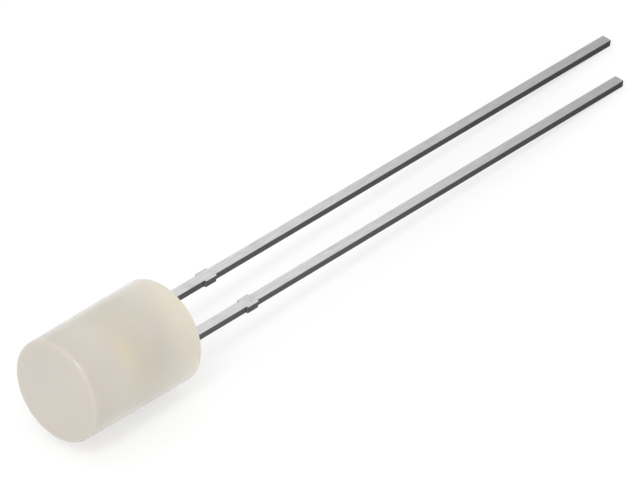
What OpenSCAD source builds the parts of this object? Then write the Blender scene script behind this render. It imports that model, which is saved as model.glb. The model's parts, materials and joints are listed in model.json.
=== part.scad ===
// Through hole LED with a flat top: a cylindrical diffused epoxy body without a flange,
// cast round a stamped steel lead frame that carries the chip in a small reflector cup.
// It lies on its side as a loose LED comes to rest: on the lower rim of the base and on
// the tips of both leads. Its flat top looks towards -Y and its leads run towards +Y.
// The origin is the middle of the underside of its bounding box. Units are millimetres.

/* [Epoxy body] */
// Diameter of the body at its base, where the leads come out
body_d = 5; // [4.8:0.1:6]
// Diameter at the flat top: less than at the base, so that the body leaves its mould
top_d = 4.88; // [4.7:0.01:5]
// Height of the body along its axis
body_h = 6.6; // [5:0.1:9]
// Radius of the edge round the flat top
top_edge_r = 0.15; // [0.05:0.01:0.3]
// Radius of the edge round the base
base_edge_r = 0.12; // [0.05:0.01:0.3]
// Distance that the resin crept along each lead, out of the base, before it set
creep_h = 0.3; // [0.1:0.05:0.8]
// Width of this collar of resin beyond the corners of the lead, where it meets the base
creep_w = 0.25; // [0.15:0.05:0.4]
// Cover that the resin still has over the corners of the lead at the end of the collar
creep_skin = 0.02; // [0.01:0.005:0.04]

/* [Leads] */
// Distance between the middles of the two leads
pitch = 2.54; // [2.3:0.01:2.8]
// Width of a lead, across the pair
lead_w = 0.5; // [0.4:0.01:0.6]
// Thickness of the stamped sheet
lead_t = 0.35; // [0.3:0.01:0.5]
// Length of the anode lead below the base of the body
anode_l = 32; // [20:0.5:36]
// Length of the cathode lead below the base of the body, always the shorter one
cathode_l = 29.9; // [18:0.1:34]

/* [Stand-off stops] */
// Width of a stop, the stub that is left of the bar between the leads
stop_w = 0.7; // [0.65:0.01:1]
// Length of a stop along its lead
stop_l = 0.7; // [0.4:0.05:1.2]
// Distance from the base of the body to a stop
stop_gap = 3.9; // [2:0.1:6]
// Radius of the sheared corners of a stop
stop_corner_r = 0.05; // [0.02:0.01:0.07]

/* [Lead frame in the body] */
// Height of the rim of the cup and of the post's top above the base
frame_top = 3; // [2.8:0.1:3.8]
// Height above the base at which the leads start to widen
neck_h = 1.3; // [0.8:0.1:1.6]
// Width that the post gains on its outer side
post_flare = 0.3; // [0.1:0.05:0.5]
// Height over which the post widens
flare_h = 0.6; // [0.4:0.05:0.9]
// Diameter of the coined head of the anvil, which holds the cup
head_d = 1.45; // [1.3:0.01:1.5]
// Height of the coined head
head_h = 0.9; // [0.7:0.05:1]

/* [Reflector cup] */
// Diameter of the mouth of the cup
cup_mouth_d = 1.05; // [0.9:0.01:1.1]
// Diameter of the floor of the cup
cup_floor_d = 0.66; // [0.6:0.01:0.8]
// Depth of the cup
cup_depth = 0.36; // [0.3:0.01:0.45]

/* [Chip and wire] */
// Side of the square light emitting chip
chip_w = 0.3; // [0.2:0.01:0.35]
// Height of the chip
chip_h = 0.16; // [0.1:0.01:0.2]
// Side of the square of silver glue under the chip
glue_w = 0.36; // [0.36:0.01:0.4]
// Thickness of the glue
glue_h = 0.03; // [0.02:0.005:0.04]
// Diameter of the gold bond wire
wire_d = 0.05; // [0.04:0.005:0.06]
// Height of the wire's arch above the line between its two ends
wire_arch = 0.35; // [0.25:0.01:0.5]
// Diameter of the ball on the chip and of the stitch on the post
bond_d = 0.14; // [0.12:0.01:0.16]
// Height of the ball and of the stitch
bond_h = 0.06; // [0.05:0.005:0.07]

/* [Hidden] */
$fn = 96;

base_r = body_d / 2;
top_r = top_d / 2;
anode_x = -pitch / 2;
cathode_x = pitch / 2;
flare_top = neck_h + flare_h;
creep_r = norm([lead_w, lead_t]) / 2 + creep_skin;
cup_floor = frame_top - cup_depth;
chip_top = cup_floor + glue_h + chip_h;
// The cutter of the cup runs on past the rim
cup_slope = (cup_mouth_d - cup_floor_d) / 2 / cup_depth;
cup_over = 0.1;
// The wire runs from the middle of the ball to the middle of the stitch
wire_start = [0, chip_top + bond_h / 2];
wire_end = [anode_x, frame_top + bond_h / 2];

// How it lies. (lie_x, lie_y, lie_z) is the way up, seen from the LED's own axes, in which
// z runs from the leads to the flat top. Both tips and the lower rim of the base share one
// height: the leads differ in length, so the LED is turned a little about its axis too.
lie_roll = -(anode_l - cathode_l) / pitch;
touch_x = anode_x + lead_w / 2;
arm = anode_l - lie_roll * touch_x + base_edge_r;
// Each turn puts the slope of the last one into the height of the rim over the tips
function side_up(slope) = sqrt(1 - slope ^ 2 * (1 + lie_roll ^ 2));
function lean(slope, turns) = turns == 0 ? slope : lean(
    ((base_r - base_edge_r) * sqrt(1 - slope ^ 2) + base_edge_r
        - side_up(slope) * lead_t / 2) / arm, turns - 1);
lie_z = lean(0, 8);
lie_x = lie_roll * lie_z;
lie_y = side_up(lie_z);
level = sqrt(1 - lie_z ^ 2);
up = [lie_x, lie_y, lie_z];
along = [lie_x * lie_z, lie_y * lie_z, -level ^ 2] / level;
across = cross(along, up);
// Height of the axis over the floor where it meets the base, and the ends of the box in Y
rise = (base_r - base_edge_r) * level + base_edge_r * (1 - lie_z);
tip_y = anode_l * level
    + (lie_x * (anode_x - lead_w / 2) + lie_y * lead_t / 2) * lie_z / level;
face_y = (top_r - top_edge_r) * lie_z + (body_h - top_edge_r) * level + top_edge_r;
shift_y = (face_y - tip_y) / 2;

// Puts a piece that stands on the LED's own axes where it lies
module lay() {
    multmatrix([
        [across.x, across.y, across.z, 0],
        [along.x, along.y, along.z, shift_y],
        [up.x, up.y, up.z, rise],
        [0, 0, 0, 1]
    ]) children();
}

// A flat stamping in the plane of the leads, from its outline in x and z
module stamped() {
    translate([0, lead_t / 2, 0]) rotate([90, 0, 0]) linear_extrude(lead_t) children();
}

// The stub of the bar that joined the leads: a rectangle with its sheared corners rounded
module stop_outline(x) {
    x0 = x - stop_w / 2 + stop_corner_r;
    x1 = x + stop_w / 2 - stop_corner_r;
    z1 = -stop_gap - stop_corner_r;
    z0 = -stop_gap - stop_l + stop_corner_r;
    translate([x0 - stop_corner_r, z0]) square([stop_w, z1 - z0]);
    translate([x0, z0 - stop_corner_r]) square([x1 - x0, stop_l]);
    for (cx = [x0, x1], cz = [z0, z1]) translate([cx, cz]) circle(stop_corner_r);
}

// The lead from its tip up to where it widens inside the body
module lead_outline(x, l) {
    translate([x - lead_w / 2, -l]) square([lead_w, l + neck_h]);
    stop_outline(x);
}

// Anode: the lead and, inside the body, the post that the wire is bonded to
module anode_shape() {
    outer = anode_x - lead_w / 2;
    inner = anode_x + lead_w / 2;
    stamped() {
        lead_outline(anode_x, anode_l);
        polygon([
            [inner, neck_h], [inner, frame_top], [outer - post_flare, frame_top],
            [outer - post_flare, flare_top], [outer, neck_h]
        ]);
    }
}

// Cathode before its cup is coined: the lead, the anvil that reaches over to the axis, its head
module cathode_blank() {
    outer = cathode_x + lead_w / 2;
    inner = cathode_x - lead_w / 2;
    head_r = head_d / 2;
    stamped() {
        lead_outline(cathode_x, cathode_l);
        polygon([
            [outer, neck_h], [outer, frame_top], [-head_r, frame_top],
            [-head_r, frame_top - head_h], [inner, neck_h]
        ]);
    }
    translate([0, 0, frame_top - head_h]) cylinder(h = head_h, r = head_r);
}

// The cup, or a cutter for it that goes on past the rim at the same slope
module cup(over) {
    translate([0, 0, cup_floor]) cylinder(h = cup_depth + over, r1 = cup_floor_d / 2,
        r2 = cup_mouth_d / 2 + cup_slope * over);
}

module cathode_shape() {
    difference() {
        cathode_blank();
        cup(cup_over);
    }
}

// A square layer on the axis, from height z
module layer(w, h, z) {
    translate([-w / 2, -w / 2, z]) cube([w, w, h]);
}

module glue_shape() {
    layer(glue_w, glue_h, cup_floor);
}

module chip_shape() {
    layer(chip_w, chip_h, cup_floor + glue_h);
}

// Bond wire: a ball on the chip, one arch in the plane of the leads, a stitch on the post
module wire_shape() {
    span = norm(wire_end - wire_start);
    bend_r = (span ^ 2 / 4 + wire_arch ^ 2) / (2 * wire_arch);
    half_turn = asin(span / 2 / bend_r);
    mid = (wire_start + wire_end) / 2;
    rise_a = atan2(wire_start.y - wire_end.y, wire_start.x - wire_end.x);
    translate([wire_start.x, 0, chip_top]) cylinder(h = bond_h, d = bond_d);
    translate([wire_end.x, 0, frame_top]) cylinder(h = bond_h, d = bond_d);
    translate([mid.x, 0, mid.y]) rotate([0, -rise_a, 0])
        translate([0, 0, wire_arch - bend_r]) rotate([90, 0, 0])
            rotate([0, 0, 90 - half_turn]) rotate_extrude(angle = 2 * half_turn)
                translate([bend_r, 0]) circle(wire_d / 2);
}

// Yellow phosphor gel: it fills the cup to the rim, round the chip and the ball of the wire
module phosphor_shape() {
    difference() {
        cup(0);
        glue_shape();
        chip_shape();
        wire_shape();
    }
}

// The outline of half the body: a drafted wall between two rounded edges
module body_outline() {
    steps = 12;
    base_edge = [for (i = [0:steps]) let (a = -90 + 90 * i / steps)
        [base_r - base_edge_r + base_edge_r * cos(a), base_edge_r + base_edge_r * sin(a)]];
    top_edge = [for (i = [0:steps]) let (a = 90 * i / steps)
        [top_r - top_edge_r + top_edge_r * cos(a), body_h - top_edge_r + top_edge_r * sin(a)]];
    polygon(concat([[0, 0]], base_edge, top_edge, [[0, body_h]]));
}

// The collar round one lead: a hollow curve from the lead out to the base
module creep_outline() {
    steps = 6;
    polygon(concat([[0, base_edge_r], [0, -creep_h]], [for (i = [0:steps])
        let (a = 90 * i / steps) [creep_r + creep_w * (1 - cos(a)), creep_h * (sin(a) - 1)]],
        [[creep_r + creep_w, base_edge_r]]));
}

module epoxy_body() {
    color("#f1eee6") lay() difference() {
        union() {
            rotate_extrude() body_outline();
            for (x = [anode_x, cathode_x]) translate([x, 0, 0]) rotate_extrude() creep_outline();
        }
        anode_shape();
        cathode_blank();
        wire_shape();
    }
}

module anode_lead() {
    color("#c9cacb") lay() anode_shape();
}

module cathode_lead() {
    color("#c2c3c4") lay() cathode_shape();
}

module led_chip() {
    color("#d8c35a") lay() chip_shape();
}

module chip_glue() {
    color("#9aa0a3") lay() glue_shape();
}

module cup_phosphor() {
    color("#e8c64a") lay() phosphor_shape();
}

module bond_wire() {
    color("#d9a520") lay() wire_shape();
}

epoxy_body();
anode_lead();
cathode_lead();
led_chip();
chip_glue();
cup_phosphor();
bond_wire();
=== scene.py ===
# %% [markdown]
# # A flat topped LED, lying on a white table
#
# This script dresses one electronic part: a cylindrical light emitting diode in milky
# epoxy, with a pair of long stamped leads. The part's sizes come from a frame that is
# already packed, and every new surface here follows that frame. Each step below first
# says what the piece or finish is on the real object, then builds it.

# %% Open the frame
import json
import math

import bpy
import numpy as np
from mathutils import Matrix, Vector
from mathutils.geometry import delaunay_2d_cdt


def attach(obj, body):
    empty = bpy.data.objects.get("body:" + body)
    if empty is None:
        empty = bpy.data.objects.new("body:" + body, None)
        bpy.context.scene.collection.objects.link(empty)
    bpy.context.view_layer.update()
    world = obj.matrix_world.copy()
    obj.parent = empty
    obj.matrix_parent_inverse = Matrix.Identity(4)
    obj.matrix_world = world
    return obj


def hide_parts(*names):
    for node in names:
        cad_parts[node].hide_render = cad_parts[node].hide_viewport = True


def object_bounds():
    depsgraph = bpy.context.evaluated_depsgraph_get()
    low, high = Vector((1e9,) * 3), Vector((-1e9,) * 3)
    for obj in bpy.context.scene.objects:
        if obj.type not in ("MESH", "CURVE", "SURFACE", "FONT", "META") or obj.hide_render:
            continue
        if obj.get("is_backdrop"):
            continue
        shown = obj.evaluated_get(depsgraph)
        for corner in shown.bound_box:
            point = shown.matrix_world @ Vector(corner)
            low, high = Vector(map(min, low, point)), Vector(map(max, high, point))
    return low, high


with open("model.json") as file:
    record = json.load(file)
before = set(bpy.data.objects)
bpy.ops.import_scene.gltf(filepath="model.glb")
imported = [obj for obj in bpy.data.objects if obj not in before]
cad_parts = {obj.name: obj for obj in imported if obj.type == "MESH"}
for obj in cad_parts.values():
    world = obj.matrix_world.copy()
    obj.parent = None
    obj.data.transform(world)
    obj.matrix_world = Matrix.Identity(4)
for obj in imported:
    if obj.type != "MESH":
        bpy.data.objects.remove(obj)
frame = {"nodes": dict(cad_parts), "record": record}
cad_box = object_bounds()
nodes = frame["nodes"]
print("frame holds", sorted(nodes))

# %% [markdown]
# ## The LED's own axes
#
# A loose LED rolls until both lead tips and the rim of its base touch the table, so its
# axis leans a little and the pair of leads is turned a little about it. It is easiest to
# shape each piece on the LED's own axes, with the base at height 0 and the leads pointing
# down, and to lay the finished points on the table afterwards. The frame's record gives
# two points of the axis: the middle of the flat top and the middle of the base.

# %% Axes from the record
MM = 0.001
PITCH = 2.54 * MM
ANODE_LENGTH = 32.0 * MM
CATHODE_LENGTH = 29.9 * MM

mounts = {mount["name"]: mount for mount in frame["record"]["mounts"]}
base_middle = np.array(mounts["base_face"]["pos_m"])
top_middle = np.array(mounts["light_face"]["pos_m"])
body_height = float(np.linalg.norm(top_middle - base_middle))
axis_way = (top_middle - base_middle) / body_height

# A level line across the LED, and the line square to it and to the axis
level_across = np.array([1.0, 0.0, 0.0])
level_up = np.cross(axis_way, level_across)
# The leads differ in length, so the pair turns until both tips reach the table
turn_sine = -(ANODE_LENGTH - CATHODE_LENGTH) / PITCH * axis_way[2] / level_up[2]
turn_cosine = math.sqrt(1 - turn_sine**2)
across_way = turn_cosine * level_across + turn_sine * level_up
thick_way = np.cross(axis_way, across_way)
print("body is", round(body_height / MM, 3), "mm high, turned by",
      round(math.degrees(math.asin(turn_sine)), 2), "degrees about its axis")


def lay(points):
    """Places points (x across the pair, y through the sheet, z up the axis) on the table:
    base_middle + x * across_way + y * thick_way + z * axis_way."""
    return base_middle + points @ np.array([across_way, thick_way, axis_way])


# %% [markdown]
# ## The camera
#
# The photograph looks down on the lying LED from the front right, with a very long lens:
# the leads hardly narrow towards their tips. A camera on a sphere round a point on the
# part says this in plain numbers: the way round, the height over the table, a small roll
# and the distance. It comes first, so that each later step can be looked at.

# %% Camera
CAMERA_AZIMUTH = 42.84
CAMERA_ELEVATION = 37.53
CAMERA_ROLL = -1.10
CAMERA_DISTANCE = 263.0 * MM
CAMERA_AIM = Vector((3.597, -6.089, 5.504)) * MM
LENS_LENGTH = 337.5
SENSOR_WIDTH = 36.0


def sky_way(azimuth, elevation):
    """The way from the part to a place in the sky, from two angles in degrees: azimuth 0 is
    over the flat top's side, 90 is over +X, and elevation 90 is straight up."""
    a, e = math.radians(azimuth), math.radians(elevation)
    return Vector((math.sin(a) * math.cos(e), -math.cos(a) * math.cos(e), math.sin(e)))


def make_camera():
    """A camera at CAMERA_DISTANCE from CAMERA_AIM, looking at it."""
    back = sky_way(CAMERA_AZIMUTH, CAMERA_ELEVATION)
    data = bpy.data.cameras.new("camera")
    data.lens = LENS_LENGTH
    data.sensor_width = SENSOR_WIDTH
    data.clip_start = 0.1 * CAMERA_DISTANCE
    data.clip_end = 20 * CAMERA_DISTANCE
    camera = bpy.data.objects.new("camera", data)
    turn = (-back).to_track_quat("-Z", "Y").to_matrix().to_4x4()
    roll = Matrix.Rotation(math.radians(CAMERA_ROLL), 4, "Z")
    place = Matrix.Translation(CAMERA_AIM + back * CAMERA_DISTANCE)
    camera.matrix_world = place @ turn @ roll
    bpy.context.scene.collection.objects.link(camera)
    bpy.context.scene.camera = camera
    return camera


camera = make_camera()
print("camera stands at", [round(v / MM, 1) for v in camera.matrix_world.translation])

# %% [markdown]
# ## From arrays to a mesh
#
# Every new piece is a surface worked out with numpy: rows of rings, each ring a closed
# loop of points. Neighbouring rings are joined by four sided faces, and an end that has to
# be closed gets one flat face. A few helpers do the joining, so the shape functions below
# only have to say where the points are.

# %% Helpers for meshes


def ring_faces(rings, around):
    """Faces between each ring and the next, for rings of `around` points each: the corners
    (i, j), (i, j + 1), (i + 1, j + 1), (i + 1, j), wrapping round in j."""
    i, j = np.meshgrid(np.arange(rings - 1), np.arange(around), indexing="ij")
    k = (j + 1) % around
    corners = [i * around + j, i * around + k, (i + 1) * around + k, (i + 1) * around + j]
    return np.stack(corners, axis=-1).reshape(-1, 4)


def tube(grid, close_first=True, close_last=True):
    """Points and faces of a tube through grid[ring, around, xyz], with a flat face over
    each end that is closed. Rings run anticlockwise seen from the last ring, so that the
    faces point outwards."""
    rings, around = grid.shape[:2]
    faces = ring_faces(rings, around).tolist()
    if close_first:
        faces.append(list(range(around - 1, -1, -1)))
    if close_last:
        faces.append(list(range((rings - 1) * around, rings * around)))
    return grid.reshape(-1, 3), faces


def joined(parts):
    """Several (points, faces) pairs as one. Also gives the number of the first point of each
    part, and after these the number of all points."""
    counts = [len(points) for points, faces in parts]
    starts = [0] + np.cumsum(counts).tolist()
    faces = [[start + i for i in face]
             for start, (points, own) in zip(starts, parts) for face in own]
    return np.concatenate([points for points, own in parts]), faces, starts


def make_piece(name, points, faces, smooth_angle=35):
    """A mesh object with its place in its vertices. Edges that bend by less than
    smooth_angle degrees are shaded smooth."""
    mesh = bpy.data.meshes.new(name)
    mesh.from_pydata(points.tolist(), [], faces)
    mesh.validate()
    mesh.update()
    mesh.polygons.foreach_set("use_smooth", np.ones(len(mesh.polygons), dtype=bool))
    mesh.set_sharp_from_angle(angle=math.radians(smooth_angle))
    piece = bpy.data.objects.new(name, mesh)
    bpy.context.scene.collection.objects.link(piece)
    print(name, "has", len(mesh.vertices), "points and", len(mesh.polygons), "faces")
    return piece


print("mesh helpers are ready")

# %% [markdown]
# ## The epoxy body
#
# The body is cast: liquid epoxy fills a polished cup, the lead frame is hung into it, and
# the block is pulled out when it has set. That gives a slightly tapered wall, a crisp but
# not sharp edge round the flat top, and a flat base that was the open side of the mould.
#
# A turned profile says all of this: one outline of radius against height, swept round the
# axis. The mesh is finer than the frame's, so that the thin light on the front edge stays
# a clean line. The frame's body is a many sided one, so it falls a few thousandths of a
# millimetre short of its round size, and the radii here are that much smaller too.

# %% Body outline
BASE_RADIUS = 2.495 * MM
TOP_RADIUS = 2.435 * MM
TOP_EDGE = 0.15 * MM
BASE_EDGE = 0.12 * MM
BODY_SEGMENTS = 192
EDGE_RINGS = 9
WALL_RINGS = 24
TOP_RINGS = 9
# Where a flat's outermost and innermost ring stand, as shares of its radius
OUTER_RING = 0.95
INNER_RING = 0.02


def arc(centre_r, centre_z, radius, start, end, steps):
    """Points of a circular arc in the (r, z) plane, from angle start to end in degrees."""
    angle = np.radians(np.linspace(start, end, steps))
    return np.stack([centre_r + radius * np.cos(angle), centre_z + radius * np.sin(angle)],
                    axis=1)


def body_profile():
    """The wall and both rounded edges, from the base to the flat top, as (r, z) rows, with
    a ring or more on the flats so that their faces stay small near the edges."""
    base_flat = np.array([[OUTER_RING * (BASE_RADIUS - BASE_EDGE), 0]])
    base_edge = arc(BASE_RADIUS - BASE_EDGE, BASE_EDGE, BASE_EDGE, -90, 0, EDGE_RINGS)
    height = np.linspace(BASE_EDGE, body_height - TOP_EDGE, WALL_RINGS + 2)[1:-1]
    share = (height - BASE_EDGE) / (body_height - TOP_EDGE - BASE_EDGE)
    wall = np.stack([BASE_RADIUS + (TOP_RADIUS - BASE_RADIUS) * share, height], axis=1)
    top_edge = arc(TOP_RADIUS - TOP_EDGE, body_height - TOP_EDGE, TOP_EDGE, 0, 90, EDGE_RINGS)
    inwards = np.linspace(OUTER_RING, INNER_RING, TOP_RINGS)
    top_flat = np.stack([inwards * (TOP_RADIUS - TOP_EDGE),
                         np.full(TOP_RINGS, body_height)], axis=1)
    return np.concatenate([base_flat, base_edge, wall, top_edge, top_flat])


print("body outline has", len(body_profile()), "rings")


def turned(profile, segments):
    """Sweeps (r, z) rows round the axis: (r cos a, r sin a, z) for evenly spaced a."""
    angle = np.linspace(0, 2 * np.pi, segments, endpoint=False)
    r, z = profile[:, :1], profile[:, 1:]
    return np.stack([r * np.cos(angle), r * np.sin(angle),
                     np.broadcast_to(z, (len(profile), segments))], axis=-1)


# %% Body shell, still open at its base
body_shell = tube(turned(body_profile(), BODY_SEGMENTS), close_first=False)
print("turned body has", len(body_shell[0]), "points")

# %% [markdown]
# ## The leads
#
# Both leads are stamped from one thin sheet, so each is a flat strip with a constant
# thickness and an outline that changes along its length: the cut tip, the stub of the bar
# that once joined the leads, and the wider part that the epoxy holds. The punch leaves
# the corners of the section slightly rolled.
#
# The strip is a rounded rectangle carried along the lead. Its left and right edges are
# read from a short list of breaks, so that one function makes both leads.

# %% Lead sizes
LEAD_WIDTH = 0.5 * MM
LEAD_THICKNESS = 0.35 * MM
CORNER_ROLL = 0.022 * MM
STOP_WIDTH = 0.7 * MM
STOP_LENGTH = 0.7 * MM
STOP_GAP = 3.9 * MM
STOP_CORNER = 0.05 * MM
FRAME_TOP = 3.0 * MM
NECK = 1.3 * MM
FLARE_TOP = 1.9 * MM
POST_FLARE = 0.3 * MM
HEAD_RADIUS = 0.725 * MM
HEAD_HEIGHT = 0.9 * MM
RING_SPACING = 0.8 * MM
print("leads are", round(LEAD_WIDTH / MM, 2), "by", round(LEAD_THICKNESS / MM, 2), "mm")

# %% Lead outline


def stop_steps():
    """Heights and edge offsets of one side of the stop, its two corners rounded: quarter
    circles of radius STOP_CORNER between the lead's edge and the stop's edge."""
    reach = (STOP_WIDTH - LEAD_WIDTH) / 2
    low, high = -STOP_GAP - STOP_LENGTH, -STOP_GAP
    angle = np.radians(np.linspace(0, 90, 5))
    rise = STOP_CORNER * (1 - np.cos(angle))
    out = reach - STOP_CORNER + STOP_CORNER * np.sin(angle)
    heights = np.concatenate([[low], low + rise, (high - rise)[::-1], [high]])
    offsets = np.concatenate([[0], out, out[::-1], [0]])
    return heights, offsets


def strip(middle, length, breaks):
    """A stamped strip from its tip at -length up to FRAME_TOP. `breaks` has a row (height,
    left reach) for each step inside the body, where the right edge runs straight. Between
    the rows the left edge runs straight too; each ring is a rectangle with its corners
    rounded by CORNER_ROLL."""
    stop_z, stop_out = stop_steps()
    z = np.concatenate([[-length], stop_z, [0], [height for height, reach in breaks]])
    right = np.concatenate([[0], stop_out, np.zeros(1 + len(breaks))])
    left = np.concatenate([[0], stop_out, [0], [reach for height, reach in breaks]])
    # Plain rings between the rows keep the faces short
    fill = [np.linspace(a, b, max(2, int((b - a) / RING_SPACING) + 2))[1:-1]
            for a, b in zip(z[:-1], z[1:])]
    extra = np.concatenate([part for part in fill if len(part)])
    order = np.argsort(np.concatenate([z, extra]), kind="stable")
    heights = np.concatenate([z, extra])[order]
    right_edge = np.concatenate([right, np.interp(extra, z, right)])[order]
    left_edge = np.concatenate([left, np.interp(extra, z, left)])[order]
    return section_rings(middle - LEAD_WIDTH / 2 - left_edge,
                         middle + LEAD_WIDTH / 2 + right_edge, heights)


def section_rings(x_low, x_high, heights):
    """Rings of a rectangle from x_low to x_high and LEAD_THICKNESS deep, each corner a
    quarter circle of radius CORNER_ROLL in three steps, one ring per height."""
    angle = np.radians(np.array([0, 30, 60, 90]))
    half = LEAD_THICKNESS / 2
    cosine, sine = CORNER_ROLL * np.cos(angle), CORNER_ROLL * np.sin(angle)
    inset_low, inset_high = x_low[:, None] + CORNER_ROLL, x_high[:, None] - CORNER_ROLL
    deep = np.full_like(inset_low, half - CORNER_ROLL)
    x = np.concatenate([inset_high + cosine, inset_low - sine,
                        inset_low - cosine, inset_high + sine], axis=1)
    y = np.concatenate([deep + sine, deep + cosine, -deep - sine, -deep - cosine], axis=1)
    z = np.broadcast_to(heights[:, None], x.shape)
    return np.stack([x, y, z], axis=-1)


print("one side of a stop has", len(stop_steps()[0]), "points")

# %% Anode piece
anode_breaks = [(NECK, 0), (FLARE_TOP, POST_FLARE), (FRAME_TOP, POST_FLARE)]
anode_points, anode_faces = tube(strip(-PITCH / 2, ANODE_LENGTH, anode_breaks))
anode = make_piece("anode_strip", lay(anode_points), anode_faces)

# %% [markdown]
# ## The base with its collars of resin
#
# Liquid epoxy wets the leads, so at the open side of the mould it creeps a little along
# them before it sets. That leaves a small hollow collar round each lead. A sculpted blob
# would do, but the shape has a rule: a rectangle at the lead that turns into a circle at
# the base, along a quarter of an ellipse. So it is one more grid of rings.
#
# Body and collars are one casting, and milky material shows every wall inside itself as a
# grey line, so they also have to be one surface. The flat of the base is therefore filled
# with triangles between the body's first ring and the collars' last rings.

# %% Collars
COLLAR_HEIGHT = 0.3 * MM
COLLAR_RADIUS = 0.575 * MM
COLLAR_RIM = 0.05 * MM
COLLAR_SEGMENTS = 64
COLLAR_RINGS = 9
# The collar starts just under the lead's surface, so that no gap shows
COLLAR_TUCK = 0.97
TINY = 1e-6


def collar(middle):
    """Rings round a lead at x = middle. With t from 0 to 90 degrees and w = 1 - cos t, the
    height is (sin t - 1) COLLAR_HEIGHT and the radius is (1 - w) lead + w COLLAR_RADIUS,
    where lead is COLLAR_TUCK of how far the lead's rectangle reaches in each direction round
    it. One more ring, COLLAR_RIM wider, lies on the flat of the base."""
    around = np.linspace(0, 2 * np.pi, COLLAR_SEGMENTS, endpoint=False)
    lead = np.minimum(LEAD_WIDTH / 2 / np.maximum(np.abs(np.cos(around)), TINY),
                      LEAD_THICKNESS / 2 / np.maximum(np.abs(np.sin(around)), TINY))
    t = np.radians(np.linspace(0, 90, COLLAR_RINGS))[:, None]
    radius = COLLAR_TUCK * lead * np.cos(t) + COLLAR_RADIUS * (1 - np.cos(t))
    height = np.broadcast_to((np.sin(t) - 1) * COLLAR_HEIGHT, radius.shape)
    radius = np.concatenate([radius, radius[-1:] + COLLAR_RIM])
    height = np.concatenate([height, height[-1:]])
    return np.stack([middle + radius * np.cos(around), radius * np.sin(around), height],
                    axis=-1)


collar_middles = (-PITCH / 2, PITCH / 2)
collars = [tube(collar(middle), close_last=False) for middle in collar_middles]
print("each collar has", len(collars[0][0]), "points")

# %% Flat of the base and the finished casting


def fill_flat(points, loops, hole_middles, hole_radius):
    """Triangles facing down between an outer loop and round holes, all at height 0: a
    Delaunay triangulation of the loops' points, less the triangles inside the holes. Each
    loop is a range of point numbers; the sums are done in millimetres."""
    numbers = np.concatenate([np.arange(*loop) for loop in loops])
    flat = points[numbers, :2] / MM
    ends = np.cumsum([stop - start for start, stop in loops])
    edges = [(i, i + 1 if i + 1 != end else start)
             for start, end in zip([0, *ends[:-1]], ends) for i in range(start, end)]
    corners = [Vector(p) for p in flat.tolist()]
    found = delaunay_2d_cdt(corners, edges, [], 0, TINY)
    new_faces, old_points = found[2], found[3]
    # The function numbers its points anew, so each goes back to its own number
    origin = np.array([first[0] for first in old_points])
    triangles = origin[np.array(new_faces)]
    centre = flat[triangles].mean(axis=1)
    keep = np.ones(len(triangles), dtype=bool)
    for middle in hole_middles:
        keep &= np.hypot(centre[:, 0] - middle / MM, centre[:, 1]) > hole_radius / MM
    return numbers[triangles[keep]][:, ::-1].tolist()


body_points, body_faces, starts = joined([body_shell, *collars])
base_loops = [(0, BODY_SEGMENTS)] + [(stop - COLLAR_SEGMENTS, stop) for stop in starts[2:]]
base_faces = fill_flat(body_points, base_loops, collar_middles, COLLAR_RADIUS + COLLAR_RIM)
print("flat of the base has", len(base_faces), "triangles")
epoxy = make_piece("epoxy_casting", lay(body_points), body_faces + base_faces)

# %% [markdown]
# ## The cathode's anvil
#
# Inside the body the cathode reaches over to the axis and ends in a coined head with a
# conical cup, which holds the chip and throws its light upwards. The milky epoxy hides it,
# but the mesh keeps it, so the strip's left edge runs over to the head, and the head is a
# turned profile that goes down into the cup and back up its outside.

# %% Cathode piece
CUP_MOUTH = 0.525 * MM
CUP_FLOOR = 0.33 * MM
CUP_DEPTH = 0.36 * MM
FLOOR_THICKNESS = 0.1 * MM
STEP_HEIGHT = 0.02 * MM
HEAD_SEGMENTS = 64

# The anvil passes under the cup's floor, and beside the cup it stands as high as the rim
inner_edge = PITCH / 2 - LEAD_WIDTH / 2
anvil_reach = inner_edge + HEAD_RADIUS
rim_reach = inner_edge - (HEAD_RADIUS + CUP_MOUTH) / 2
head_bottom = FRAME_TOP - HEAD_HEIGHT
cup_bottom = FRAME_TOP - CUP_DEPTH
under_cup = cup_bottom - FLOOR_THICKNESS
over_step = under_cup + STEP_HEIGHT
cathode_breaks = [(NECK, 0), (head_bottom, anvil_reach), (under_cup, anvil_reach),
                  (over_step, rim_reach), (FRAME_TOP, rim_reach)]
head_profile = np.array([
    [INNER_RING * HEAD_RADIUS, head_bottom], [HEAD_RADIUS, head_bottom],
    [HEAD_RADIUS, FRAME_TOP], [CUP_MOUTH, FRAME_TOP], [CUP_FLOOR, cup_bottom],
    [INNER_RING * CUP_FLOOR, cup_bottom]])
cathode_lead = tube(strip(PITCH / 2, CATHODE_LENGTH, cathode_breaks))
cathode_head = tube(turned(head_profile, HEAD_SEGMENTS))
cathode_points, cathode_faces = joined([cathode_lead, cathode_head])[:2]
cathode = make_piece("cathode_strip", lay(cathode_points), cathode_faces)

# %% [markdown]
# ## Which faces are sheared
#
# A stamped lead has two kinds of face. The rolled faces of the sheet are bright, because
# the tin lies smooth on them. The sheared edges were torn by the punch, are rough, and
# took little tin. Their darkness is partly that dull metal and mostly painted reflection:
# the sides are painted dark for the dark surroundings that they mirror, the short ends of
# the stops nearly as dark, and the tips in between. Each face of the strip gets a number
# on the mesh: 0 on a rolled face, 1 on a sheared edge, STOP_SHARE on a stop's end and
# TIP_SHARE on a tip.

# %% Mark the sheared faces
STOP_SHARE = 0.61
TIP_SHARE = 0.5


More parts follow.
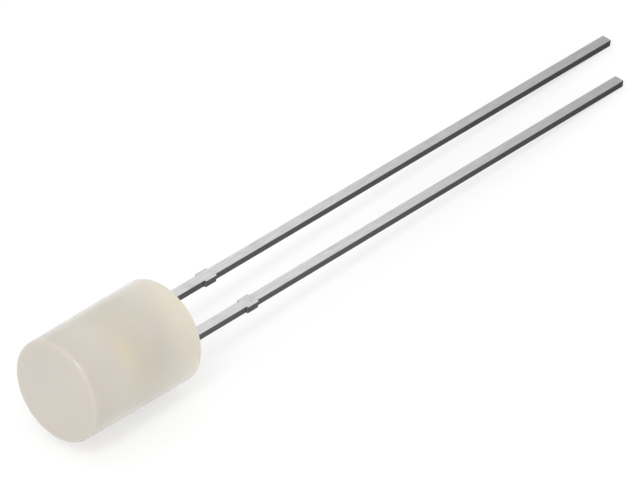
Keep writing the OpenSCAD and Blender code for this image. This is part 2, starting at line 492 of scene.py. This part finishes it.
def mark_sheared(piece):
    """Stores (n . across_way)^2 + e (n . axis_way)^2 for the normal n of each face, where e
    is TIP_SHARE on the outer half of the lead and STOP_SHARE on the rest."""
    mesh = piece.data
    normals = np.empty((len(mesh.polygons), 3), dtype=np.float32)
    centres = np.empty_like(normals)
    mesh.polygons.foreach_get("normal", normals.ravel())
    mesh.polygons.foreach_get("center", centres.ravel())
    sideways, endways = normals @ across_way, normals @ axis_way
    outer = (centres - base_middle) @ axis_way < -CATHODE_LENGTH / 2
    # The share is how dark the face is painted: painted reflection, over the real dullness of
    # torn faces
    share = sideways**2 + np.where(outer, TIP_SHARE, STOP_SHARE) * endways**2
    sheared = mesh.attributes.new("sheared", "FLOAT", "FACE")
    sheared.data.foreach_set("value", share.astype(np.float32))
    print(piece.name, "has", int((share > TIP_SHARE).sum()), "sheared faces")


mark_sheared(anode)
mark_sheared(cathode)

# %% [markdown]
# ## Shader maths as plain expressions
#
# A material is a small calculation on each point of a surface. Writing it as Python
# expressions keeps it readable: a wrapped socket can be added, multiplied or subtracted,
# and each such step adds one Math node behind the scenes. Any other node is asked for by
# its type, with its settings and the values of its sockets.

# %% Shader helpers


class Wire:
    """One value in a material's calculation. Arithmetic on it adds Math nodes."""

    def __init__(self, paint, socket):
        self.paint = paint
        self.socket = socket

    def __add__(self, other):
        return self.paint.maths("ADD", self, other)

    def __radd__(self, other):
        return self.paint.maths("ADD", other, self)

    def __sub__(self, other):
        return self.paint.maths("SUBTRACT", self, other)

    def __rsub__(self, other):
        return self.paint.maths("SUBTRACT", other, self)

    def __mul__(self, other):
        return self.paint.maths("MULTIPLY", self, other)

    def __rmul__(self, other):
        return self.paint.maths("MULTIPLY", other, self)


class Paint:
    """A material under construction: it holds the node tree and makes its nodes."""

    def __init__(self, name):
        self.material = bpy.data.materials.new(name)
        self.material.use_nodes = True
        self.tree = self.material.node_tree
        self.tree.nodes.clear()

    def node(self, kind, settings=None, out=0, **sockets):
        """Adds a node of this type. Settings are set first, then each socket by its name,
        with _ for a space, or by in0, in1, ... for its number. Gives the output that `out`
        names or numbers."""
        made = self.tree.nodes.new(kind)
        for key, value in (settings or {}).items():
            setattr(made, key, value)
        for key, value in sockets.items():
            numbered = key[:2] == "in" and key[2:].isdigit()
            name = int(key[2:]) if numbered else key.replace("_", " ")
            self.feed(made.inputs[name], value)
        return Wire(self, made.outputs[out])

    def feed(self, socket, value):
        """Links a wire to a socket, or sets the socket's own value."""
        if isinstance(value, Wire):
            self.tree.links.new(value.socket, socket)
        else:
            socket.default_value = value

    def maths(self, operation, a, b):
        """One Math node on two values or wires."""
        return self.node("ShaderNodeMath", {"operation": operation}, in0=a, in1=b)

    def ramp(self, factor, low, high):
        """Goes from 0 at low to 1 at high, smoothly, and stays there outside."""
        return self.node("ShaderNodeMapRange", {"interpolation_type": "SMOOTHSTEP"},
                         Value=factor, From_Min=low, From_Max=high)

    def blend(self, factor, first, second):
        """One colour at factor 0 and the other at 1."""
        made = self.tree.nodes.new("ShaderNodeMix")
        made.data_type = "RGBA"
        self.feed(made.inputs[0], factor)
        self.feed(made.inputs[6], first)
        self.feed(made.inputs[7], second)
        return Wire(self, made.outputs[2])

    def places(self):
        """Object coordinates: metres in the frame, because every piece sits at the origin."""
        return self.node("ShaderNodeTexCoord", out="Object")

    def finish(self, surface):
        """Ties the shader to the material's output and hands the material over."""
        output = self.tree.nodes.new("ShaderNodeOutputMaterial")
        self.tree.links.new(surface.socket, output.inputs["Surface"])
        return self.material


def colour(red, green, blue):
    """A colour given as the eye reads it, 0 to 255 a channel, turned into linear light."""
    channels = [c / 255 for c in (red, green, blue)]
    linear = [c / 12.92 if c <= 0.04045 else ((c + 0.055) / 1.055) ** 2.4 for c in channels]
    return (*linear, 1.0)


print("shader helpers are ready")

# %% [markdown]
# ## Milky epoxy
#
# The epoxy is clear resin with a fine white filler. Most of the light that enters scatters
# a few tenths of a millimetre deep and comes out again: subsurface scattering does this and
# softens the shading across the cylinder. The rest goes on through, so that the yellow cup
# and the grey metal show very faintly: a share of rough transmission does this, and because
# the pieces inside are really there, the faint shapes sit right from every side.
#
# The mould was polished, so a thin clear skin lies over the milky inside. That is the
# shader's coat, smoother than the base under it. A cloudy noise varies the filler. A soft
# band round the cup's height is painted with some of the phosphor's yellow: a painted glow,
# for the yellow light that the filler spreads from the cup. The base end is painted paler
# and warmer: painted light, for the light that the rim lets pass straight through. Towards
# the flat top the colour turns a little darker and the base gets rougher, which blurs the
# pieces inside as the thicker layer of filler over them does, so the face looks even.

# %% Epoxy material
EPOXY_PLAIN = colour(222, 216, 205)
EPOXY_CLOUD = colour(217, 211, 200)
# Painted light: the base end is painted paler and warmer, for the light through its rim
EPOXY_PAINTED_LIGHT_BASE = colour(247, 239, 222)
EPOXY_TOP = colour(220, 213, 204)
# Painted glow: the yellow that the filler spreads from the phosphor in the cup
EPOXY_CUP_GLOW_PAINT = colour(223, 213, 180)
# Where each tint is strongest or how far it reaches, and its share in the colour there
CUP_HEIGHT = 3.6 * MM
CUP_BAND = 1.6 * MM
CUP_GLOW_SHARE = 0.22
BASE_BAND = 2.5 * MM
TOP_BAND = 1.5 * MM
END_TINT = 0.8
# How deep light scatters, the share that goes straight on, and how deep the ripples are
SCATTER_DEPTH = 0.5 * MM
CLEAR_SHARE = 0.32
RIPPLE_DEPTH = 0.004 * MM


def epoxy_material():
    """The body's finish, with its tints placed by the height over the base."""
    paint = Paint("milky_epoxy")
    place = paint.places()
    # Height over the base along the LED's own axis, from the dot product with its way
    from_base = paint.node("ShaderNodeVectorMath", {"operation": "SUBTRACT"},
                           in0=place, in1=tuple(base_middle))
    height = paint.node("ShaderNodeVectorMath", {"operation": "DOT_PRODUCT"}, out="Value",
                        in0=from_base, in1=tuple(axis_way))
    clouds = paint.node("ShaderNodeTexNoise", Vector=place, Scale=500.0, Detail=2.0,
                        Roughness=0.5)
    grain = paint.node("ShaderNodeTexNoise", Vector=place, Scale=9000.0, Detail=2.0)
    shade = paint.blend(paint.ramp(clouds, 0.3, 0.8), EPOXY_PLAIN, EPOXY_CLOUD)
    off_cup = paint.node("ShaderNodeMath", {"operation": "ABSOLUTE"}, in0=height - CUP_HEIGHT)
    cup_glow_paint = 1 - paint.ramp(off_cup, 0.0, CUP_BAND)
    # Painted glow: a band of the phosphor's yellow round the cup's height
    shade = paint.blend(cup_glow_paint * CUP_GLOW_SHARE, shade, EPOXY_CUP_GLOW_PAINT)
    base_light_paint = 1 - paint.ramp(height, 0.0, BASE_BAND)
    # Painted light: the base end paler and warmer, for the light through its thin rim
    shade = paint.blend(base_light_paint * END_TINT, shade, EPOXY_PAINTED_LIGHT_BASE)
    near_top = paint.ramp(height, body_height - TOP_BAND, body_height)
    shade = paint.blend(near_top * END_TINT, shade, EPOXY_TOP)
    bump = paint.node("ShaderNodeBump", Strength=0.1, Distance=RIPPLE_DEPTH,
                      Height=clouds * 0.4 + grain * 0.6)
    surface = paint.node("ShaderNodeBsdfPrincipled", Base_Color=shade,
                         Roughness=0.32 + near_top * 0.35 + grain * 0.1, Normal=bump,
                         IOR=1.5, Specular_IOR_Level=0.25,
                         Subsurface_Weight=0.6, Subsurface_Scale=SCATTER_DEPTH,
                         Subsurface_Radius=(1.0, 0.85, 0.6),
                         Transmission_Weight=CLEAR_SHARE, Coat_Weight=1.0,
                         Coat_Roughness=0.2, Coat_IOR=1.5)
    return paint.finish(surface)


milky_epoxy = epoxy_material()
print("epoxy finish has", len(milky_epoxy.node_tree.nodes), "nodes")

# %% [markdown]
# ## Tinned steel
#
# The leads are steel with a dull coat of tin. On the rolled faces the coat is smooth, with
# fine streaks along the lead from the rolling mill and faint dull patches. Rolled faces and
# sheared edges alike are painted lighter near the body and darker towards the tips:
# painted shade, for the way the light falls along the lead. The sheared edges are rougher,
# and painted dark as painted reflection. Inside the body the same stamping is plated with
# bright silver. The streaks are noise that is stretched along the lead by a Mapping node,
# and the number stored on each face picks the edge finish with its painted reflection.

# %% Tinned steel material
TIN_BRIGHT = colour(228, 228, 229)
# Painted shade: the rolled faces turn to this colour towards the tips
TIN_TIP_SHADE = colour(183, 183, 184)
TIN_DULL = colour(198, 198, 199)
TIN_STREAK = colour(150, 150, 152)
# Painted reflection on the sheared sides, darker towards the tips by the painted shade
SHEAR_SHADE_NEAR = colour(98, 98, 99)
SHEAR_SHADE_FAR = colour(74, 74, 75)
SILVER = colour(240, 238, 232)
# How far from the base the painted shade along the lead starts, and where it is darkest
SHADE_ALONG_START = 4 * MM
SHADE_ALONG_END = 34 * MM
# The tin gives way to the silver over this stretch, inside the body
SILVER_START = 0.1 * MM
SILVER_END = 0.3 * MM
STREAK_DEPTH = 0.006 * MM
# Noise per metre: streaks run along the lead (Y), and the torn edge is marked across it
STREAK_SCALE = (14000.0, 260.0, 14000.0)
BURR_SCALE = (3000.0, 9000.0, 3000.0)


def tin_material():
    """The leads' finish: rolled faces, sheared edges, and silver inside the body."""
    paint = Paint("tinned_steel_finish")
    place = paint.places()
    along = paint.node("ShaderNodeSeparateXYZ", out="Y", Vector=place)
    streak_place = paint.node("ShaderNodeMapping", Vector=place, Scale=STREAK_SCALE)
    streaks = paint.node("ShaderNodeTexNoise", Vector=streak_place, Scale=1.0, Detail=4.0)
    patches = paint.node("ShaderNodeTexNoise", Vector=place, Scale=900.0, Detail=3.0)
    burr_place = paint.node("ShaderNodeMapping", Vector=place, Scale=BURR_SCALE)
    burr = paint.node("ShaderNodeTexNoise", Vector=burr_place, Scale=1.0, Detail=3.0)
    sheared = paint.node("ShaderNodeAttribute", {"attribute_name": "sheared"}, out="Fac")
    # edge is where the painted reflection darkens the sheared sides; their roughness and burr
    # are real
    edge = paint.ramp(sheared, 0.3, 0.8)
    body_end = float(base_middle[1])
    # Painted shade: lighter near the body, darker towards the tips
    shade_along = paint.ramp(along, body_end + SHADE_ALONG_START, body_end + SHADE_ALONG_END)
    rolled = paint.blend(shade_along, TIN_BRIGHT, TIN_TIP_SHADE)
    rolled = paint.blend(paint.ramp(patches, 0.5, 0.75) * 0.35, rolled, TIN_DULL)
    rolled = paint.blend(paint.ramp(streaks, 0.4, 0.6) * 0.2, rolled, TIN_STREAK)
    shear_shade = paint.blend(shade_along, SHEAR_SHADE_NEAR, SHEAR_SHADE_FAR)
    shade = paint.blend(edge, rolled, shear_shade)
    outside = paint.ramp(along, body_end - SILVER_END, body_end - SILVER_START)
    shade = paint.blend(outside, SILVER, shade)
    bump = paint.node("ShaderNodeBump", Strength=0.25, Distance=STREAK_DEPTH,
                      Height=streaks + edge * burr)
    rough = 0.34 + streaks * 0.12 + patches * 0.08 + edge * 0.2
    surface = paint.node("ShaderNodeBsdfPrincipled", Base_Color=shade, Metallic=1.0,
                         Roughness=rough, Normal=bump)
    return paint.finish(surface)


tinned_steel = tin_material()
print("tin finish has", len(tinned_steel.node_tree.nodes), "nodes")

# %% [markdown]
# ## The pieces inside
#
# The chip, its silver glue, the phosphor in the cup and the gold wire are sealed in. Only
# the yellow of the phosphor comes faintly through the milky epoxy, but a cut through the
# part shows them all, so each has its own finish: a pale crystal with darker specks, grey
# glue with silver flakes, yellow powder in clear gel, and drawn gold. Phosphor turns blue
# and ultraviolet light into yellow, so it looks brighter than paint of its colour would,
# and its finish glows a little.

# %% Inner materials


def speckled(name, plain, speck, size, metallic, roughness, glow=0.0):
    """A finish with specks of a second colour, from noise of scale `size`."""
    paint = Paint(name)
    noise = paint.node("ShaderNodeTexNoise", Vector=paint.places(), Scale=size, Detail=2.0)
    shade = paint.blend(paint.ramp(noise, 0.4, 0.65), plain, speck)
    surface = paint.node("ShaderNodeBsdfPrincipled", Base_Color=shade, Metallic=metallic,
                         Roughness=roughness + noise * 0.15, Emission_Color=shade,
                         Emission_Strength=glow)
    return paint.finish(surface)


chip_material = speckled("chip_finish", colour(224, 205, 96), colour(196, 172, 70),
                         size=20000.0, metallic=0.0, roughness=0.2)
glue_material = speckled("glue_finish", colour(150, 152, 154), colour(205, 206, 208),
                         size=40000.0, metallic=0.6, roughness=0.4)
phosphor_material = speckled("phosphor_finish", colour(236, 206, 66),
                             colour(222, 190, 48), size=60000.0, metallic=0.0,
                             roughness=0.45, glow=0.5)
gold_material = speckled("gold_finish", colour(226, 178, 74), colour(205, 158, 60),
                         size=30000.0, metallic=1.0, roughness=0.25)
inner_materials = (chip_material, glue_material, phosphor_material, gold_material)
print("inner finishes:", [finish.name for finish in inner_materials])

# %% Put the finishes on
epoxy.data.materials.append(milky_epoxy)
anode.data.materials.append(tinned_steel)
cathode.data.materials.append(tinned_steel)
inner_nodes = ("led_chip", "chip_glue", "cup_phosphor", "bond_wire")
for node_name, finish in zip(inner_nodes, inner_materials):
    nodes[node_name].data.materials.clear()
    nodes[node_name].data.materials.append(finish)
print("finishes are on")

# %% [markdown]
# ## Tie the pieces to the frame
#
# The LED has no moving parts, so every piece rides on the one body. Each new piece stands
# for one solid of the frame, and that solid is hidden.

# %% Ride and replace
for piece, node_name, slot_name in ((epoxy, "epoxy_body", "diffused_epoxy"),
                                    (anode, "anode_lead", "tinned_steel"),
                                    (cathode, "cathode_lead", "tinned_steel")):
    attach(piece, "root")
    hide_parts(node_name)
    print(piece.name, "stands for", node_name, "in", slot_name)

# %% [markdown]
# ## Table and background
#
# The photograph has a pure white background. A table that is simply lit would come out
# grey, and more light would burn the LED, so the table is a white sheet with some light of
# its own. For the camera, for glossy rays and for rays through glass, part of what it
# shows is plain white, and the rest is the lit sheet, which keeps a faint shadow.

# %% Table
TABLE_HALF = 400 * MM
TABLE_WHITE = 0.94
FIBRE_LIFT = 0.02
TABLE_GLOW = 0.6


def grey(level):
    """A grey of this share of linear light."""
    return (level, level, level, 1.0)


def table_material():
    """The lit sheet, mixed with plain white for the rays that show it."""
    paint = Paint("table_sheet")
    place = paint.places()
    fibres = paint.node("ShaderNodeTexNoise", Vector=place, Scale=400.0, Detail=2.0)
    paper = paint.blend(fibres, grey(TABLE_WHITE), grey(TABLE_WHITE + FIBRE_LIFT))
    sheet = paint.node("ShaderNodeBsdfDiffuse", Color=paper)
    white = paint.node("ShaderNodeEmission", Color=grey(1.0), Strength=1.0)
    seen = paint.node("ShaderNodeLightPath", out="Is Camera Ray")
    glossy = paint.node("ShaderNodeLightPath", out="Is Glossy Ray")
    through = paint.node("ShaderNodeLightPath", out="Is Transmission Ray")
    share = (seen + glossy + through) * TABLE_GLOW
    surface = paint.node("ShaderNodeMixShader", in0=share, in1=sheet, in2=white)
    return paint.finish(surface)


def make_table():
    """A square of side 2 * TABLE_HALF at height 0, facing up."""
    corners = np.array([[-1, -1, 0], [1, -1, 0], [1, 1, 0], [-1, 1, 0]]) * TABLE_HALF
    table = make_piece("table", corners, [(0, 1, 2, 3)])
    table.data.materials.append(table_material())
    table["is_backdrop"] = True


make_table()

# %% [markdown]
# ## World and lamps
#
# The photograph has almost no shading, and an even white world gives that flat light.
# Three weak lamps add form:
#
# - The edge lamp stands in front and above, where its mirror image falls on the rounded
#   front edge of the body, and draws the short thin light line there. It is long the way
#   that its image moves across the rounding, which lights the line well, and narrow the
#   way that its image moves along the edge, which keeps the line short.
# - The face lamp stands low before the flat top and lightens it a little.
# - The soft lamp hangs over the far side and lightens the upper part of the wall.

# %% World and lamps
LAMP_DISTANCE = 200 * MM
WORLD_STRENGTH = 0.89

world = bpy.data.worlds.new("even_white")
world.use_nodes = True
background = world.node_tree.nodes["Background"]
background.inputs["Color"].default_value = grey(1.0)
background.inputs["Strength"].default_value = WORLD_STRENGTH
bpy.context.scene.world = world


def make_lamp(name, target, way, long_way, length, width, power):
    """A rectangular lamp at LAMP_DISTANCE from the target, the given way, facing it. Its
    length lies along long_way, as far as the facing allows, and its power is in watts."""
    data = bpy.data.lights.new(name, "AREA")
    data.shape = "RECTANGLE"
    data.size = length
    data.size_y = width
    data.energy = power
    lamp = bpy.data.objects.new(name, data)
    side = (long_way - way * long_way.dot(way)).normalized()
    turn = Matrix((side, way.cross(side), way)).transposed().to_4x4()
    lamp.matrix_world = Matrix.Translation(target + way * LAMP_DISTANCE) @ turn
    bpy.context.scene.collection.objects.link(lamp)
    print(name, "stands at", [round(v / MM) for v in lamp.matrix_world.translation])


flat_top, base = Vector(top_middle), Vector(base_middle)
level = Vector((1, 0, 0))
# The way that the edge lamp's image moves across the rounding
edge_turn = sky_way(9, 42) - sky_way(40, 65)
make_lamp("edge_lamp", flat_top, sky_way(21, 54), edge_turn,
          length=130 * MM, width=45 * MM, power=0.135)
make_lamp("face_lamp", flat_top, sky_way(-20, 12), level,
          length=120 * MM, width=120 * MM, power=0.012)
make_lamp("soft_lamp", base, sky_way(-90, 75), level,
          length=120 * MM, width=120 * MM, power=0.01)
bpy.context.scene.view_settings.view_transform = "Standard"

# %% [markdown]
# ## Sizes
#
# The dressed part is made to stay inside the box of the imported frame, and both boxes
# are printed.

# %% Write the sizes and finish
visual_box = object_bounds()
for word, corners in (("frame", cad_box), ("dressed", visual_box)):
    print(word, "box in mm:", [[round(v / MM, 4) for v in corner] for corner in corners])
